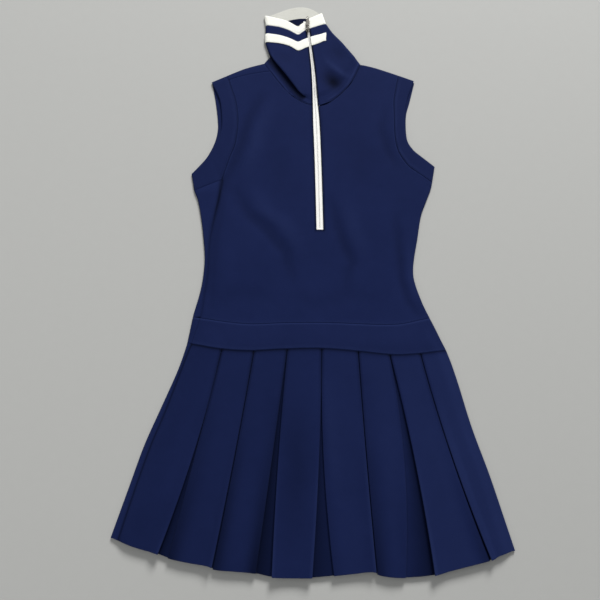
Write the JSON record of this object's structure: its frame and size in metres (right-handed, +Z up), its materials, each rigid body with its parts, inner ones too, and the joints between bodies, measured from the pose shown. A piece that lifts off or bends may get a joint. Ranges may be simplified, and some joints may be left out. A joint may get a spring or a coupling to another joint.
{
  "type": "golf dress",
  "caption": "Sleeveless navy knit golf dress laid flat, with a tall striped collar, a white half zip, a shaped waistband and a short box-pleated skirt.",
  "frame": {"origin": "centre of the bounding box at the surface that the dress lies on", "axes": "+X to the right of the front as it is seen, +Y from the hem to the collar, +Z up, out of the front of the dress"},
  "size_m": [0.5896, 0.9661, 0.0112],
  "materials": {
    "navy_knit": "matt fine double knit",
    "white_trim": "matt white knit tape",
    "zip_metal": "polished silver-coloured metal"
  },
  "bodies": {
    "dress": {"armhole_band_left": "navy_knit", "armhole_band_right": "navy_knit", "back_bodice": "navy_knit", "back_skirt": "navy_knit", "back_waistband": "navy_knit", "collar": "navy_knit", "front_bodice": "navy_knit", "front_skirt": "navy_knit", "front_waistband": "navy_knit", "collar_binding": "white_trim", "collar_stripe_left": "white_trim", "collar_stripe_right": "white_trim", "zip_tape_left": "white_trim", "zip_tape_right": "white_trim", "zip_slider": "zip_metal"},
    "zip_pull": {"zip_pull": "zip_metal"}
  },
  "joints": [
    {"name": "pull_hinge", "type": "hinge", "parent": "dress", "child": "zip_pull", "pos_m": [-0.0041, 0.434, 0.00905], "axis": [1, 0, 0], "range_deg": [0, 178]}
  ]
}
